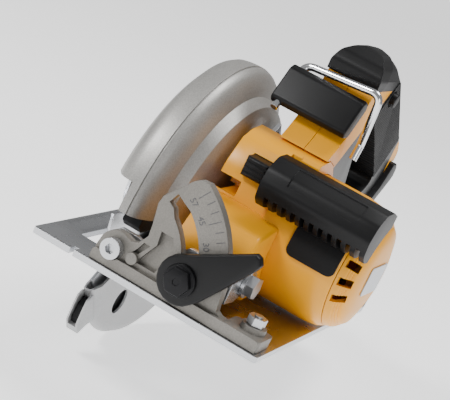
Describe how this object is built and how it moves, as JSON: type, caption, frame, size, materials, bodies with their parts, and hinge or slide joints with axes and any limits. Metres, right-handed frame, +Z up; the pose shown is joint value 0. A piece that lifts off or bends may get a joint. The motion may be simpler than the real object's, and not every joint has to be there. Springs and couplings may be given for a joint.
{
  "type": "circular saw",
  "caption": "Cordless circular saw with bevel shoe, depth pivot, sprung lower guard, geared blade drive, handles and rafter hook, without its battery.",
  "frame": {"origin": "on the underside of the shoe, at the middle of its length and width", "axes": "+X is the cutting direction, +Y points to the motor side, +Z up out of the shoe"},
  "size_m": [0.3045, 0.1634, 0.2298],
  "materials": {
    "yellow_plastic": "moulded, fine texture",
    "black_plastic": "moulded, satin",
    "black_rubber": "overmoulded, textured",
    "cast_magnesium": "painted light-metal casting",
    "cast_bracket": "raw light-metal casting",
    "shoe_aluminium": "brushed plate",
    "guard_aluminium": "as cast, granular",
    "zinc_steel": "zinc plated",
    "black_steel": "black oxide",
    "chrome_wire": "polished wire",
    "blade_steel": "ground",
    "gear_steel": "machined",
    "copper_stack": "copper windings on a lamination stack",
    "board_green": "circuit board",
    "label_grey": "blank label"
  },
  "bodies": {
    "base": {"shoe_plate": "shoe_aluminium", "bevel_quadrant": "cast_bracket", "bevel_pivot_screw_front": "zinc_steel", "quadrant_screw": "zinc_steel", "quadrant_nut": "zinc_steel", "bevel_bracket_rear": "zinc_steel", "bevel_pivot_screw_rear": "zinc_steel"},
    "bevel_carriage": {"front_link_plate": "zinc_steel", "bevel_clamp_stud": "zinc_steel", "depth_pivot_pin": "zinc_steel", "rear_link_plate": "zinc_steel", "depth_arm": "zinc_steel"},
    "bevel_lever_unit": {"bevel_lever": "black_plastic", "bevel_lever_nut": "black_steel"},
    "saw_body": {"upper_guard": "cast_magnesium", "guard_return_spring": "gear_steel", "spindle_bearing_outer": "gear_steel", "spindle_bearing_inner": "gear_steel", "motor_bearing_front": "gear_steel", "motor_bearing_rear": "gear_steel", "stator": "copper_stack", "gear_housing": "yellow_plastic", "motor_housing": "yellow_plastic", "motor_end_cap": "yellow_plastic", "rating_label": "label_grey", "front_handle": "black_plastic", "front_handle_pad": "black_rubber", "handle_shell_left": "yellow_plastic", "handle_shell_right": "yellow_plastic", "grip_overmould": "black_rubber", "handle_cap": "black_plastic", "trigger_switch": "black_plastic", "controller_board": "board_green", "battery_receptacle": "black_plastic", "battery_terminals": "gear_steel", "hook_block": "black_plastic", "chip_deflector": "black_rubber"},
    "lower_guard_unit": {"lower_guard": "guard_aluminium"},
    "blade_unit": {"saw_blade": "blade_steel", "spindle": "gear_steel", "inner_flange": "gear_steel", "outer_flange": "gear_steel", "blade_bolt": "zinc_steel", "drive_gear": "gear_steel"},
    "rotor_unit": {"rotor_shaft": "gear_steel", "rotor_core": "copper_stack", "cooling_fan": "black_plastic"},
    "trigger_unit": {"trigger": "black_plastic"},
    "lock_off_unit": {"lock_off_button": "black_plastic"},
    "spindle_lock_unit": {"spindle_lock_button": "black_plastic"},
    "hook_unit": {"rafter_hook": "chrome_wire"},
    "depth_lever_unit": {"depth_lever": "black_plastic", "depth_clamp_stud": "zinc_steel"}
  },
  "joints": [
    {"name": "bevel_tilt", "type": "hinge", "parent": "base", "child": "bevel_carriage", "pos_m": [0, -0.027, 0.0146], "axis": [1, 0, 0], "range_deg": [0, 48]},
    {"name": "depth_swing", "type": "hinge", "parent": "bevel_carriage", "child": "saw_body", "pos_m": [0.112, 0, 0.0255], "axis": [0, 1, 0], "range_deg": [0, 28]},
    {"name": "bevel_lever_turn", "type": "hinge", "parent": "bevel_carriage", "child": "bevel_lever_unit", "pos_m": [0.15, 0.018, 0.0204], "axis": [1, 0, 0], "range_deg": [0, 60]},
    {"name": "lower_guard_swing", "type": "hinge", "parent": "saw_body", "child": "lower_guard_unit", "pos_m": [0.0235, -0.041, 0.022], "axis": [0, 1, 0], "range_deg": [0, 128], "stiffness_Nm_per_rad": 0.12, "springref_deg": -85.94},
    {"name": "blade_spin", "type": "hinge", "parent": "saw_body", "child": "blade_unit", "pos_m": [0.0235, -0.047, 0.022], "axis": [0, 1, 0], "continuous": true},
    {"name": "rotor_spin", "type": "hinge", "parent": "saw_body", "child": "rotor_unit", "pos_m": [0.03552, 0.04, 0.0352], "axis": [0, 1, 0], "continuous": true},
    {"name": "trigger_pull", "type": "slide", "parent": "saw_body", "child": "trigger_unit", "axis": [-0.5662, 0, 0.8243], "range_m": [0, 0.005], "stiffness_N_per_m": 1200, "springref_m": -0.002},
    {"name": "lock_off_push", "type": "slide", "parent": "saw_body", "child": "lock_off_unit", "axis": [0, -1, 0], "range_m": [0, 0.003], "stiffness_N_per_m": 800, "springref_m": -0.002},
    {"name": "spindle_lock_push", "type": "slide", "parent": "saw_body", "child": "spindle_lock_unit", "axis": [-1, 0, 0], "range_m": [0, 0.0025], "stiffness_N_per_m": 1200, "springref_m": -0.002},
    {"name": "hook_swing", "type": "hinge", "parent": "saw_body", "child": "hook_unit", "pos_m": [0.04025, -0.0075, 0.119], "axis": [0.6467, 0, -0.7628], "range_deg": [0, 110]},
    {"name": "depth_lever_turn", "type": "hinge", "parent": "saw_body", "child": "depth_lever_unit", "pos_m": [-0.00596, -0.008, 0.02859], "axis": [0, 1, 0], "range_deg": [0, 50]}
  ],
  "couplings": [
    {"joint": "rotor_spin", "follows": "blade_spin", "ratio": -3.25}
  ]
}
